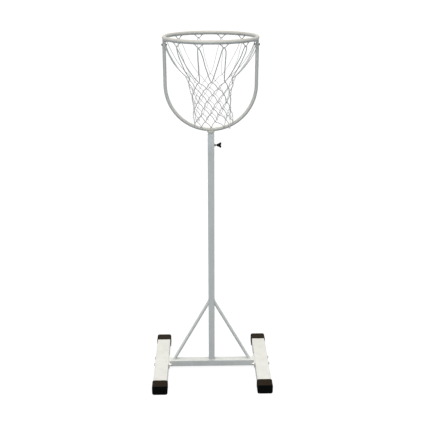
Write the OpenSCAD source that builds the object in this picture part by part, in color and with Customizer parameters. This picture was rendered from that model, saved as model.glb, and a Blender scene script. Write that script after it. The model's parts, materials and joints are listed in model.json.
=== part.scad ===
// Free-standing practice hoop: a ring and net carried by a U-shaped yoke on a
// telescopic square mast, which stands on a braced cross beam between two feet.
// Millimetres. +Z is up, the beam runs along X, the feet run along Y, and the
// origin is on the floor under the mast.

/* [Hoop] */
// Clear bore of the ring
ring_bore = 450; // [400:1:500]
// Outer diameter of the ring's tube
ring_tube_d = 20; // [16:0.5:24]
// Wall of the ring's tube
ring_tube_wall = 2; // [1:0.5:4]
// Height of the ring's centreline above the open ends of the yoke
ring_rise = 29; // [24:1:50]

/* [Net eyelets] */
// Number of wire eyelets under the ring
eyelet_count = 12; // [8:1:16]
// Diameter of the eyelet wire
eyelet_wire_d = 4; // [3:0.5:5]
// Distance between the two welded ends of one eyelet
eyelet_span = 38; // [30:1:46]
// Depth of the eyelet's wire below the ring's underside
eyelet_drop = 18; // [15:1:24]
// Centreline radius of the bend at the bottom of an eyelet
eyelet_bend_r = 5; // [4:0.5:7]

/* [Net] */
// Diameter of the net's cord
net_cord_d = 4; // [3:0.5:5]
// Diameter of the cord at a knot
net_knot_d = 6.4; // [5:0.2:8]
// Number of knot rows, the tips at the bottom included
net_rows = 8; // [6:2:10]
// Height from the eyelet's wire down to the first knot row
net_first_drop = 171; // [140:1:200]
// Height from one knot row to the next
net_row_pitch = 34.5; // [28:0.5:38]
// Radius of the net at the first knot row
net_top_r = 125; // [110:1:150]
// Smallest radius of the net
net_neck_r = 99; // [85:1:105]
// Radius of the net at its bottom tips
net_tip_r = 106; // [90:1:120]
// Outward sag of the long strands between the eyelets and the first row
net_sag = 12; // [0:1:20]

/* [Yoke] */
// Outer diameter of the yoke's tube
yoke_tube_d = 18; // [16:0.5:20]
// Wall of the yoke's tube
yoke_tube_wall = 1.5; // [1:0.25:2.5]
// Length of each straight leg above the half circle
yoke_leg = 209; // [150:1:300]
// Length of stub that stands inside a leg
stub_insert = 25; // [18:1:40]
// Drop of the cross bolt below the leg's open end
ring_bolt_drop = 7; // [6:1:12]
// Thread diameter of the cross bolts
ring_bolt_d = 6; // [5:1:6]

/* [Mast] */
// Side of the outer mast's square tube
outer_mast_size = 35; // [33.5:0.5:40]
// Wall of the outer mast
outer_mast_wall = 2; // [1.5:0.25:2]
// Length of the outer mast
outer_mast_length = 1390; // [1200:1:1600]
// Side of the inner mast's square tube
inner_mast_size = 30; // [25:0.5:30.5]
// Wall of the inner mast
inner_mast_wall = 1.5; // [1:0.25:3]
// Length of the inner mast
inner_mast_length = 1350; // [900:1:1370]
// Length of inner mast that shows above the outer mast with the hoop down
inner_mast_reveal = 15; // [5:1:60]
// Side of the square saddle plate under the yoke
saddle_size = 38; // [36:1:60]
// Thickness of the saddle plate
saddle_t = 4; // [3:0.5:8]
// Height of the two braces on the side of the mast
brace_top_z = 442; // [300:1:600]
// Distance from the mast's axis to the foot of a brace
brace_foot_x = 226; // [150:1:235]
// Outer diameter of the brace tubes
brace_d = 18; // [12:0.5:20]
// Wall of the brace tubes
brace_wall = 1.5; // [1:0.25:2.5]

/* [Clamp] */
// Drop of the clamp screw below the top of the outer mast
clamp_drop = 57; // [40:1:100]
// Thread diameter of the clamp screw
clamp_screw_d = 8; // [6:1:10]
// Bare length of screw between the welded nut and the knob
clamp_reach = 7; // [6:0.5:20]
// Width of the wing knob over its two ears
knob_span = 30; // [26:1:44]
// Length of the wing knob along the screw
knob_length = 24; // [18:0.5:30]
// Diameter of the wing knob's hub
knob_hub_d = 13.5; // [12:0.5:16]
// Thickness of the ears
knob_ear_t = 5; // [3:0.5:7]

/* [Base] */
// Distance between the centrelines of the two feet
foot_spacing = 600; // [560:1:800]
// Width of a foot's tube
foot_w = 80; // [60:1:90]
// Height of a foot's tube
foot_h = 50; // [50:1:60]
// Wall of a foot's tube
foot_wall = 2; // [1.5:0.25:3]
// Length of a foot's tube without its caps
foot_length = 544; // [400:1:700]
// Side of the cross beam's square tube
beam_size = 40; // [36:1:42]
// Wall of the cross beam
beam_wall = 2; // [1.5:0.25:3]
// Drop of the beam's top face below the top of the feet
beam_drop = 0; // [0:0.5:8]
// Thickness of the flange plates at the beam's ends
flange_t = 5; // [3:0.5:8]
// Length of a flange plate along the foot
flange_length = 92; // [88:1:140]
// Distance between the two bolts of one foot
base_bolt_pitch = 66; // [62:1:70]
// Height of the base bolts above the underside of the beam
base_bolt_rise = 24; // [16:1:28]
// Thread diameter of the base bolts
base_bolt_d = 8; // [6:1:8]
// Length of the base bolts under their heads
base_bolt_length = 100; // [98:1:110]

/* [Foot caps] */
// Wall of the over-caps on the ends of the feet
cap_wall = 4; // [2:0.5:5]
// Thickness of an over-cap's sole, on which the stand rests
cap_sole = 6; // [4:0.5:8]
// Thickness of an over-cap's end
cap_end = 6; // [4:0.5:8]
// Length of a foot that one over-cap covers
cap_grip = 52; // [30:1:90]
// Corner radius of an over-cap
cap_corner_r = 12; // [8:0.5:14]

/* [Hidden] */
$fn = 64;

// Gap left at a welded seat of a curved face
weld_gap = 0.05;
// Gap between the caps and the tubes that they cover
cap_gap = 0.1;
// Radial clearance of a bolt in its hole
bolt_clearance = 0.25;
// Radial running clearance of a screw in its thread
thread_clearance = 0.04;
// Gap between the inner mast and the tip of the clamp screw
tip_gap = 0.3;
// Gap between the glide plug's collar and the outer mast's bore
glide_gap = 0.3;
// Overshoot of a cutting solid past the face that it cuts
cut = 1;

// Points on each rounded corner of a profile
corner_steps = 6;
// Sides of the net's cord
cord_sides = 5;

// Fastener proportions for a thread diameter: width over flats, height of the
// head, height of the nut, width and thickness of the washer
function across_flats(d) = d == 8 ? 13 : 1.667 * d;
function head_height(d) = 0.66 * d;
function nut_height(d) = 0.81 * d;
function washer_width(d) = 2 * d;
function washer_height(d) = 0.2 * d;

// Heights, from the floor up
foot_bottom_z = cap_sole;
foot_mid_z = foot_bottom_z + foot_h / 2;
beam_top_z = foot_bottom_z + foot_h - beam_drop;
beam_mid_z = beam_top_z - beam_size / 2;
base_bolt_z = beam_top_z - beam_size + base_bolt_rise;
outer_mast_top_z = beam_top_z + outer_mast_length;
clamp_z = outer_mast_top_z - clamp_drop;
inner_mast_top_z = outer_mast_top_z + inner_mast_reveal;
inner_mast_bottom_z = inner_mast_top_z - inner_mast_length;
yoke_bottom_z = inner_mast_top_z + saddle_t + weld_gap + yoke_tube_d / 2;
ring_r = (ring_bore + ring_tube_d) / 2;
yoke_centre_z = yoke_bottom_z + ring_r;
yoke_top_z = yoke_centre_z + yoke_leg;
ring_z = yoke_top_z + ring_rise;
ring_bolt_z = yoke_top_z - ring_bolt_drop;
eyelet_top_z = ring_z - ring_tube_d / 2;
eyelet_z = eyelet_top_z - eyelet_drop;

// Places along the beam
foot_inner_x = (foot_spacing - foot_w) / 2;
foot_outer_x = (foot_spacing + foot_w) / 2;
flange_inner_x = foot_inner_x - flange_t;

// Corner radii of the tubes and plates
foot_corner_r = 2 * foot_wall;
beam_corner_r = 1.5 * beam_wall;
outer_mast_corner_r = 1.5 * outer_mast_wall;
inner_mast_corner_r = 1.5 * inner_mast_wall;
flange_corner_r = 6;
saddle_corner_r = 4;
// An over-cap's corners are limited by its wall, which they leave half as thick
cap_r = min(cap_corner_r, foot_corner_r + 2.1 * cap_wall);

// Clamp screw, along X from its tip
clamp_nut_end_x = outer_mast_size / 2 + nut_height(clamp_screw_d);
clamp_tip_x = inner_mast_size / 2 + tip_gap;
knob_start_x = clamp_nut_end_x + clamp_reach;
knob_bore_depth = 0.6 * knob_length;

yoke_bore = yoke_tube_d - 2 * yoke_tube_wall;
stub_d = yoke_bore - 4 * weld_gap;

// ---------------------------------------------------------------- profiles

function corner_arc(centre, r, start) =
    [for (i = [0 : corner_steps])
        let (a = start + 90 * i / corner_steps)
        centre + r * [cos(a), sin(a)]];

function rounded_rectangle(w, h, r) =
    let (x = w / 2 - r, y = h / 2 - r)
    concat(corner_arc([x, y], r, 0), corner_arc([-x, y], r, 90),
           corner_arc([-x, -y], r, 180), corner_arc([x, -y], r, 270));

module tube_profile(w, h, wall, r) {
    difference() {
        polygon(rounded_rectangle(w, h, r));
        polygon(rounded_rectangle(w - 2 * wall, h - 2 * wall, max(r - wall, 0.5)));
    }
}

// Turns a solid drawn along Z so that it runs along X, its profile upright
module along_x() {
    rotate([90, 0, 90]) children();
}

// Turns a solid drawn along Z so that it runs along -Y, its profile upright
module along_y() {
    rotate([90, 0, 0]) children();
}

module round_tube(d, wall, length) {
    linear_extrude(length) difference() {
        circle(d = d);
        circle(d = d - 2 * wall);
    }
}

// ------------------------------------------------------------------ fasteners

// Hexagon with its corners knocked off on the outer face
module hex_body(d, height) {
    flats = across_flats(d);
    intersection() {
        rotate(30) cylinder(h = height, d = flats / cos(30), $fn = 6);
        cylinder(h = height, d1 = 2 * height + 1.12 * flats, d2 = 0.98 * flats, $fn = 48);
    }
}

// Bolt with its head's seat at the origin, its head along +Z and its shank along -Z
module hex_bolt(d, length) {
    hex_body(d, head_height(d));
    translate([0, 0, -length]) cylinder(h = length + weld_gap, d = d);
}

// Nut with its seat at the origin, along +Z
module hex_nut(d) {
    difference() {
        hex_body(d, nut_height(d));
        translate([0, 0, -cut])
            cylinder(h = nut_height(d) + 2 * cut, r = d / 2 + thread_clearance);
    }
}

module washer(d) {
    difference() {
        cylinder(h = washer_height(d), d = washer_width(d));
        translate([0, 0, -cut])
            cylinder(h = washer_height(d) + 2 * cut, r = d / 2 + bolt_clearance);
    }
}

// Places children at both bolts of both feet, +Z pointing out of the base at x
module at_base_bolts(x) {
    for (side = [-1, 1], y = [-base_bolt_pitch / 2, base_bolt_pitch / 2])
        translate([side * x, y, base_bolt_z]) rotate([0, side * 90, 0]) children();
}

// Places children at both cross bolts of the yoke, +Z pointing outwards at x
module at_ring_bolts(x) {
    for (side = [-1, 1])
        translate([side * x, 0, ring_bolt_z]) rotate([0, side * 90, 0]) children();
}

// ----------------------------------------------------------------------- base

module foot_tube(side) {
    color("whitesmoke") difference() {
        translate([side * foot_spacing / 2, foot_length / 2, foot_mid_z]) along_y()
            linear_extrude(foot_length) tube_profile(foot_w, foot_h, foot_wall, foot_corner_r);
        at_base_bolts(foot_outer_x + cut) mirror([0, 0, 1])
            cylinder(h = foot_w + 2 * cut, r = base_bolt_d / 2 + bolt_clearance);
    }
}

// Moulded over-cap with a blunted rim, open towards the middle of the foot
module foot_cap(side, end) {
    outer_w = foot_w + 2 * cap_wall;
    outer_h = foot_h + cap_wall + cap_sole;
    outer_mid = (cap_wall - cap_sole) / 2;
    blunt = cap_end;
    module slice(y, inset) {
        translate([0, outer_mid, y]) linear_extrude(0.1)
            polygon(rounded_rectangle(outer_w - 2 * inset, outer_h - 2 * inset, cap_r - inset));
    }
    color("#1c1a19")
        translate([side * foot_spacing / 2, 0, foot_mid_z]) rotate([0, 0, end > 0 ? 180 : 0])
        difference() {
            translate([0, -foot_length / 2 + cap_grip, 0]) along_y() hull() {
                slice(0, 0);
                slice(cap_grip + cap_end - blunt, 0);
                slice(cap_grip + cap_end - 0.4 * blunt, 0.2 * blunt);
                slice(cap_grip + cap_end - 0.1, 0.8 * blunt);
            }
            translate([0, -foot_length / 2 + cap_grip + cut, 0]) along_y()
                linear_extrude(cap_grip + cut)
                polygon(rounded_rectangle(foot_w + 2 * cap_gap, foot_h + 2 * cap_gap, foot_corner_r));
        }
}

module cross_beam() {
    color("#a9b0b2")
        translate([-flange_inner_x, 0, beam_mid_z]) along_x()
        linear_extrude(2 * flange_inner_x)
        tube_profile(beam_size, beam_size, beam_wall, beam_corner_r);
}

module flange_plate(side) {
    color("#a9b0b2") difference() {
        translate([side < 0 ? -foot_inner_x : flange_inner_x, 0, beam_mid_z]) along_x()
            linear_extrude(flange_t)
            polygon(rounded_rectangle(flange_length, beam_size, flange_corner_r));
        at_base_bolts(foot_inner_x + cut) mirror([0, 0, 1])
            cylinder(h = flange_t + 2 * cut, r = base_bolt_d / 2 + bolt_clearance);
    }
}

// Round tube from the beam's top face to the mast's side, cut flush at both
module brace(side) {
    rise = brace_top_z - beam_top_z;
    run = brace_foot_x - outer_mast_size / 2;
    spare = 2 * brace_d;
    length = norm([run, rise]) + 2 * spare;
    color("#a9b0b2") difference() {
        translate([side * brace_foot_x, 0, beam_top_z])
            rotate([0, -side * atan2(run, rise), 0])
            translate([0, 0, -spare])
            round_tube(brace_d, brace_wall, length);
        translate([side * brace_foot_x - 100, -brace_d, beam_top_z - 100])
            cube([200, 2 * brace_d, 100]);
        translate([-outer_mast_size / 2, -brace_d, brace_top_z - 100])
            cube([outer_mast_size, 2 * brace_d, 200]);
    }
}

module outer_mast() {
    color("#a9b0b2") difference() {
        translate([0, 0, beam_top_z]) linear_extrude(outer_mast_length)
            tube_profile(outer_mast_size, outer_mast_size, outer_mast_wall, outer_mast_corner_r);
        translate([outer_mast_size / 2 - 2 * outer_mast_wall, 0, clamp_z]) rotate([0, 90, 0])
            cylinder(h = 3 * outer_mast_wall, r = clamp_screw_d / 2 + 2 * bolt_clearance);
    }
}

module clamp_nut() {
    color("#a9b0b2") translate([outer_mast_size / 2, 0, clamp_z]) rotate([0, 90, 0])
        hex_nut(clamp_screw_d);
}

module base_bolts() {
    color("silver") at_base_bolts(foot_outer_x + washer_height(base_bolt_d))
        hex_bolt(base_bolt_d, base_bolt_length);
}

module base_nuts() {
    color("silver") at_base_bolts(flange_inner_x - washer_height(base_bolt_d))
        mirror([0, 0, 1]) hex_nut(base_bolt_d);
}

module base_washers() {
    color("silver") {
        at_base_bolts(foot_outer_x) washer(base_bolt_d);
        at_base_bolts(flange_inner_x) mirror([0, 0, 1]) washer(base_bolt_d);
    }
}

// ----------------------------------------------------------------------- head

module inner_mast() {
    color("#b3babb") translate([0, 0, inner_mast_bottom_z]) linear_extrude(inner_mast_length)
        tube_profile(inner_mast_size, inner_mast_size, inner_mast_wall, inner_mast_corner_r);
}

// Plug pressed into the inner mast's lower end, its collar guided by the bore
module mast_glide_plug() {
    collar = outer_mast_size - 2 * outer_mast_wall - 2 * glide_gap;
    body = inner_mast_size - 2 * inner_mast_wall - 2 * cap_gap;
    collar_h = 5;
    body_h = 25;
    color("#1c1a19") translate([0, 0, inner_mast_bottom_z]) {
        linear_extrude(body_h) polygon(rounded_rectangle(body, body, 1));
        translate([0, 0, -collar_h]) linear_extrude(collar_h)
            polygon(rounded_rectangle(collar, collar, inner_mast_corner_r));
    }
}

module saddle_plate() {
    color("#d5d8d4") translate([0, 0, inner_mast_top_z]) linear_extrude(saddle_t)
        polygon(rounded_rectangle(saddle_size, saddle_size, saddle_corner_r));
}

module yoke_leg_tube(side) {
    translate([side * ring_r, 0, yoke_centre_z])
        round_tube(yoke_tube_d, yoke_tube_wall, yoke_leg);
}

module yoke() {
    color("#b4bbbc") difference() {
        union() {
            translate([0, 0, yoke_centre_z]) rotate([90, 0, 0])
                rotate([0, 0, 180]) rotate_extrude(angle = 180, $fn = 128)
                translate([ring_r, 0]) difference() {
                    circle(d = yoke_tube_d);
                    circle(d = yoke_bore);
                }
            yoke_leg_tube(-1);
            yoke_leg_tube(1);
        }
        at_ring_bolts(ring_r - yoke_tube_d) cylinder(
            h = 2 * yoke_tube_d, r = ring_bolt_d / 2 + bolt_clearance);
    }
}

module ring() {
    color("#d8dbd8") translate([0, 0, ring_z]) rotate_extrude($fn = 128)
        translate([ring_r, 0]) difference() {
            circle(d = ring_tube_d);
            circle(d = ring_tube_d - 2 * ring_tube_wall);
        }
}

// Stubs that hang from the ring into the yoke's legs, coped to the ring's tube
module ring_stubs() {
    color("#b4bbbc") difference() {
        for (side = [-1, 1])
            translate([side * ring_r, 0, yoke_top_z - stub_insert])
                cylinder(h = stub_insert + ring_rise, d = stub_d);
        translate([0, 0, ring_z]) rotate_extrude($fn = 128)
            translate([ring_r, 0]) circle(r = ring_tube_d / 2 + weld_gap);
        at_ring_bolts(ring_r - yoke_tube_d) cylinder(
            h = 2 * yoke_tube_d, r = ring_bolt_d / 2 + bolt_clearance);
    }
}

module ring_bolts() {
    seat = ring_r + yoke_tube_d / 2 + weld_gap;
    color("#26282b") at_ring_bolts(seat)
        hex_bolt(ring_bolt_d, yoke_tube_d + nut_height(ring_bolt_d) + 2);
}

module ring_nuts() {
    color("#26282b") at_ring_bolts(ring_r - yoke_tube_d / 2 - weld_gap)
        mirror([0, 0, 1]) hex_nut(ring_bolt_d);
}

// One V of wire in the upright plane XZ, its welded ends level with the origin
module eyelet() {
    half = eyelet_span / 2;
    depth = eyelet_drop - eyelet_bend_r;
    reach = norm([half, depth]);
    slope = atan2(depth, half) + asin(eyelet_bend_r / reach);
    leg = sqrt(reach * reach - eyelet_bend_r * eyelet_bend_r);
    difference() {
        translate([0, 0, -depth]) rotate([90, 0, 0]) {
            rotate([0, 0, -90 - slope]) rotate_extrude(angle = 2 * slope)
                translate([eyelet_bend_r, 0]) circle(d = eyelet_wire_d, $fn = 32);
            for (side = [0, 1]) mirror([side, 0, 0]) rotate([0, 0, slope - 90])
                translate([eyelet_bend_r, 0, 0]) rotate([-90, 0, 0])
                cylinder(h = leg + eyelet_wire_d, d = eyelet_wire_d, $fn = 32);
        }
        translate([-eyelet_span, -eyelet_wire_d, -weld_gap])
            cube([2 * eyelet_span, 2 * eyelet_wire_d, 3 * eyelet_wire_d]);
    }
}

function eyelet_angle(k) = 360 * (k + 0.5) / eyelet_count;

module net_eyelets() {
    color("#b4bbbc") for (k = [0 : eyelet_count - 1])
        rotate([0, 0, eyelet_angle(k)]) translate([ring_r, 0, eyelet_top_z])
            rotate([0, 0, 90]) eyelet();
}

// ------------------------------------------------------------------------ net
// Each eyelet carries two strands, one on each side, that zigzag downwards. They
// meet each other at the even knot rows and their neighbours at the odd rows.

function polar(r, angle, z) = [r * cos(angle), r * sin(angle), z];
function unit(v) = v / norm(v);
function sideways(r, offset) = asin(offset / r);

// Radius of a knot row: it draws in to the neck and opens a little at the tips
function row_r(row) =
    let (neck_row = 0.64 * net_rows + 0.4)
    row < neck_row
        ? net_neck_r + (net_top_r - net_neck_r) * pow((neck_row - row) / (neck_row - 1), 2)
        : net_neck_r + (net_tip_r - net_neck_r) * pow((row - neck_row) / (net_rows - neck_row), 2);

function row_z(row) = eyelet_z - net_first_drop - net_row_pitch * (row - 1);

// Knot of one side of a column. Knots shared with a neighbour lie just clear of it,
// and the two knots of one column run into each other.
function knot(column, side, row) =
    let (r = row_r(row),
         to_neighbour = 180 / eyelet_count - sideways(r, net_knot_d / 2 + 0.2),
         to_own = sideways(r, 0.3 * net_cord_d))
    polar(r, eyelet_angle(column) + side * (row % 2 == 1 ? to_neighbour : to_own), row_z(row));

// Points and cord radii of one strand, from its tip up and over the eyelet's wire.
// The two strands of a column pass the wire on its inner and its outer side.
function strand_points(column, side) =
    let (a = eyelet_angle(column),
         pass = (eyelet_wire_d + net_cord_d) / 2 + 0.5,
         splay = side * sideways(ring_r, 0.4 * net_cord_d),
         knots = [for (row = [1 : net_rows]) knot(column, side, row)],
         low = polar(ring_r + side * pass, a + splay, eyelet_z - 3),
         middle = (knots[0] + low) / 2 + polar(net_sag, a, 0))
    concat(
        [knots[net_rows - 1] - [0, 0, 4]],
        [for (row = [net_rows : -1 : 1], step = [-1, 0, 1])
            let (here = knots[row - 1],
                 below = row == net_rows ? here : knots[row],
                 above = row == 1 ? middle : knots[row - 2])
            if (!(row == net_rows && step < 0))
                step == 0 ? here : here + net_knot_d * unit((step < 0 ? below : above) - here)],
        [middle,
         low,
         polar(ring_r + side * pass, a + splay, eyelet_z + 1),
         polar(ring_r + side * 0.6 * pass, a, eyelet_z + 0.8 * pass),
         polar(ring_r - side * 0.4 * pass, a, eyelet_z + pass)]);

function strand_radii() =
    concat(
        [0.6 * net_cord_d],
        [for (row = [net_rows : -1 : 1], step = [-1, 0, 1])
            if (!(row == net_rows && step < 0))
                (step == 0 ? net_knot_d : net_cord_d) / 2],
        [for (i = [1 : 5]) net_cord_d / 2]);

// Tube of triangles along points, with its sections set out from one cross direction
module swept_cord(points, radii, cross_axis) {
    n = len(points);
    rings = [for (i = [0 : n - 1])
        let (t = unit(points[min(i + 1, n - 1)] - points[max(i - 1, 0)]),
             u = unit(cross(t, cross_axis)),
             v = cross(t, u))
        [for (j = [0 : cord_sides - 1])
            let (a = 360 * j / cord_sides)
            points[i] + radii[i] * (cos(a) * u + sin(a) * v)]];
    skin = [for (i = [0 : n - 2], j = [0 : cord_sides - 1])
        let (p = i * cord_sides + j,
             q = i * cord_sides + (j + 1) % cord_sides)
        each [[p, p + cord_sides, q + cord_sides], [p, q + cord_sides, q]]];
    start_face = [for (j = [1 : cord_sides - 2]) [0, j, j + 1]];
    last = (n - 1) * cord_sides;
    end_face = [for (j = [1 : cord_sides - 2]) [last, last + j + 1, last + j]];
    polyhedron([for (ring = rings) each ring], concat(skin, start_face, end_face));
}

module net() {
    color("white") for (k = [0 : eyelet_count - 1])
        union() {
            for (side = [-1, 1])
                swept_cord(strand_points(k, side), strand_radii(),
                           [-sin(eyelet_angle(k)), cos(eyelet_angle(k)), 0]);
        }
}

// ---------------------------------------------------------------------- clamp

module clamp_screw() {
    color("silver") translate([clamp_tip_x, 0, clamp_z]) rotate([0, 90, 0])
        cylinder(h = knob_start_x + knob_bore_depth - clamp_tip_x, d = clamp_screw_d);
}

// Hub with two flat ears that flare away from the mast and leave a notch between
module wing_knob() {
    hub_length = 0.65 * knob_length;
    tip_r = 2.8;
    module ear() {
        rotate([90, 0, 0]) translate([0, 0, -knob_ear_t / 2]) linear_extrude(knob_ear_t) hull() {
            translate([0.2 * knob_length, 0.2 * knob_hub_d]) circle(r = 0.28 * knob_hub_d, $fn = 32);
            translate([0.7 * knob_length, 0.2 * knob_hub_d]) circle(r = tip_r, $fn = 32);
            translate([knob_length - tip_r, 0.22 * knob_span]) circle(r = tip_r, $fn = 32);
            translate([knob_length - tip_r, knob_span / 2 - tip_r]) circle(r = tip_r, $fn = 32);
        }
    }
    color("#17181a") translate([knob_start_x, 0, clamp_z]) difference() {
        union() {
            rotate([0, 90, 0]) cylinder(h = hub_length, d = knob_hub_d);
            ear();
            mirror([0, 0, 1]) ear();
        }
        translate([-cut, 0, 0]) rotate([0, 90, 0])
            cylinder(h = knob_bore_depth + cut + thread_clearance,
                     r = clamp_screw_d / 2 + thread_clearance);
    }
}

foot_tube(-1);  // left_foot_tube
foot_tube(1);  // right_foot_tube
foot_cap(-1, -1);  // front_left_cap
foot_cap(-1, 1);  // rear_left_cap
foot_cap(1, -1);  // front_right_cap
foot_cap(1, 1);  // rear_right_cap
cross_beam();
flange_plate(-1);  // left_flange_plate
flange_plate(1);  // right_flange_plate
brace(-1);  // left_brace
brace(1);  // right_brace
outer_mast();
clamp_nut();
base_bolts();
base_nuts();
base_washers();
inner_mast();
mast_glide_plug();
saddle_plate();
yoke();
ring();
ring_stubs();
ring_bolts();
ring_nuts();
net_eyelets();
net();
clamp_screw();
wing_knob();
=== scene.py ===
import json
import math
import random

import bmesh
import bpy
from mathutils import Matrix, Vector


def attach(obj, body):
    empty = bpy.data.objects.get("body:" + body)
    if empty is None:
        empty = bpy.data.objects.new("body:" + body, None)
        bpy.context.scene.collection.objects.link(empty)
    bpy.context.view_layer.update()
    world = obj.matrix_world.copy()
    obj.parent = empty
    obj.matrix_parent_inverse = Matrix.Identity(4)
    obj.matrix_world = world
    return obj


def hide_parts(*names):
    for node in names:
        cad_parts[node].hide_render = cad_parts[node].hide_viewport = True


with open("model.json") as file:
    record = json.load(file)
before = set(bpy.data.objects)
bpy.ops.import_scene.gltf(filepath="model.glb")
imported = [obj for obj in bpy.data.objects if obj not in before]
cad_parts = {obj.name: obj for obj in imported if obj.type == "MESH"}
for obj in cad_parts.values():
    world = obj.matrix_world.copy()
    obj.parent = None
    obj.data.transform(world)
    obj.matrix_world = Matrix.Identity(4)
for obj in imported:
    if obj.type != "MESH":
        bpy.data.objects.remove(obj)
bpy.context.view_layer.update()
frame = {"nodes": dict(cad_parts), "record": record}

# The scene is in metres. Pieces are modelled in millimetres and scaled at the end.
MM = 0.001
UP = Vector((0, 0, 1))

# Stand, in millimetres
FOOT_X = 300
FOOT_CORNER_R = 4
BEAM_TOP = 56
BEAM_SIZE = 40
FLANGE_FACE_X = 255
MAST_HALF = 17.5
BRACE_TOP_Z = 442
BRACE_FOOT_X = 226
BRACE_R = 9

# Over-caps, in millimetres. The rim is measured back from the mouth, and the grooves of
# the sole from the closed end.
CAP_W, CAP_H = 88, 60
CAP_WALL, CAP_SOLE, CAP_GRIP = 4, 6, 52
CAP_CORNER_R, CAP_END_R = 12, 5
CAP_END_Y, CAP_LIP_Y = -278, -220
CAP_PLAY = 0.1
RIM_BACK, RIM_CREST_BACK, RIM_CREST_FRONT = 4, 3.2, 0.8
RIM_PROUD = 0.55
GROOVE_COUNT = 8
GROOVE_START, GROOVE_PITCH, GROOVE_W = 7.5, 5.5, 2.2
GROOVE_DRAFT, GROOVE_DEPTH = 0.25, 0.9

# Fasteners, in millimetres. The round face of a head is a share of its flats, and the
# depth of a thread a share of its pitch.
FOOT_BOLT = {"diameter": 8, "pitch": 1.25, "flats": 13, "head": 5.28,
             "length": 100, "threaded": 22}
FOOT_BOLT_SEAT_X, FOOT_BOLT_Y, FOOT_BOLT_Z = 341.6, 33, 40
HOOP_BOLT = {"diameter": 6, "pitch": 1.0, "flats": 10, "head": 3.96,
             "length": 24.86, "threaded": 14}
HEAD_FACE = 0.475
HEAD_CHAMFER = math.radians(30)
THREAD_DEPTH = 0.61

# Clamp, in millimetres, with places along the screw measured from the mast's middle
CLAMP_Z = 1389
SCREW_D, SCREW_PITCH = 8, 1.25
SCREW_TIP, SCREW_THREAD_START, SCREW_THREAD_END, SCREW_END = 15.3, 15.6, 34.4, 45.3
KNOB_START, KNOB_LENGTH, KNOB_SPAN = 30.98, 24, 30
HUB_R = 6.75
EAR_TIP_R, EAR_HALF_T = 3, 2.8

# Head, in millimetres
SADDLE_Z = 1461
SADDLE_T = 4
SADDLE_HALF = 17.5
INNER_HALF = 15
YOKE_R = 235
YOKE_TUBE_R = 9
RING_R = 235
RING_Z = 1947.05
RING_TUBE_R = 10
STUB_R = 7.4
RING_BOLT_Z = 1911.05
EYELET_COUNT = 12
EYELET_Z = 1919.05
EYELET_HALF_SPAN = 19
WIRE_R = 2

# Net, in millimetres and degrees. A step is half of the angle between two eyelets.
CORD_R, MESH_CORD_R = 2, 1.75
ROWS = 8
STEPS = 2 * EYELET_COUNT
STEP_ANGLE = 360 / STEPS
FIRST_ROW_Z = 1748.05
ROW_PITCH = 34.5
NECK_ROW = 5.52
TOP_ROW_R, NECK_R, TIP_R = 125, 99, 106
NET_SWAY, NET_TWIST = 14, 3
KNOT_HALF = 1.9
KNOT_WRAP_R = 3.1
KNOT_SPREAD, KNOT_REACH = 4.3, 4.6
LONG_SAG, SIDE_SAG, WAVER, KINK = 4, 12, 1.5, 7
SEED = 20

# Where the front knots have settled: for each row, step: (turn in degrees, lift in millimetres)
SETTLED = {
    1: {16: (0.7, -9.5), 18: (0.5, -4.7), 20: (3.4, -7.0)},
    2: {15: (-0.3, -5.9), 17: (1.2, -3.0), 19: (1.0, -4.8), 21: (1.9, -5.0)},
    3: {16: (-0.5, -3.5), 18: (0.0, -1.6), 20: (1.7, -0.9)},
    4: {15: (0.2, -11.2), 17: (-0.7, -2.7), 19: (-0.8, -2.9), 21: (-0.5, -11.4)},
    5: {14: (-4.0, -12.0), 16: (1.5, -5.2), 18: (-0.6, -4.0), 20: (-2.6, -4.6), 22: (4.0, -9.5)},
    6: {15: (5.2, -11.5), 17: (4.1, -1.4), 19: (-0.6, 0.6), 21: (-0.2, -8.9)},
    7: {14: (1.1, -8.0), 16: (3.6, -4.1), 18: (3.0, -1.1), 20: (6.4, 3.8)},
    8: {15: (5.0, 2.5), 17: (4.3, 5.4), 19: (11.0, 5.3)}}


# ------------------------------------------------------------------- colours

def colour(r, g, b):
    """An opaque colour, in linear light."""
    return (r, g, b, 1.0)


def shaded(base, *factors):
    """A colour times one factor, or times a factor for each channel."""
    each = factors * (3 // len(factors))
    return colour(*[min(1.0, channel * factor) for channel, factor in zip(base, each)])


WHITE = colour(1, 1, 1)
FRAME_GREY = colour(0.78, 0.79, 0.782)
# painted light: a warmer tint for the frame's upward faces, as under the top lamp
FRAME_TOP_LIGHT = colour(1.02, 1.0, 0.96)
HEAD_GREY = colour(0.72, 0.712, 0.68)
# painted shade: a darker, warmer tint for the head's upward faces
HEAD_TOP_SHADE = colour(0.92, 0.865, 0.815)
SLIDE_GREY = colour(0.84, 0.86, 0.84)
FOOT_WHITE = colour(0.835, 0.81, 0.76)
DUST = colour(0.50, 0.46, 0.40)
CAP_BLACK = colour(0.0012, 0.0017, 0.0016)
# painted light: the lighter brown of the caps' upward faces
CAP_TOP_LIGHT = colour(0.028, 0.0206, 0.0130)
CAP_RUBBED = colour(0.16, 0.15, 0.14)
KNOB_BLACK = colour(0.004, 0.004, 0.004)
# painted shade for the downward faces of plated steel
UNDERSIDE_SHADE = colour(0.035, 0.034, 0.036)
# painted highlight: the brighter plating of the nuts inside the feet
NUT_HIGHLIGHT_ZINC = colour(0.80, 0.78, 0.72)
BOLT_HEAD_ZINC = colour(0.36, 0.35, 0.33)
YELLOWED_STEEL = colour(0.16, 0.135, 0.085)
DARK_STEEL = colour(0.075, 0.066, 0.058)
CORD_WHITE = colour(0.95, 0.945, 0.925)
BRAID_SHADE = colour(0.74, 0.73, 0.71)
FLOOR_GREY = colour(0.18, 0.18, 0.18)
FLOOR_BOUNCE = colour(0.09, 0.1, 0.11)
COOL_FILL = colour(0.84, 0.985, 1.07)
WARM_LAMP = (1.0, 0.95, 0.885)
COOL_LAMP = (0.94, 1.0, 1.0)


# --------------------------------------------------------------------- nodes

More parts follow.
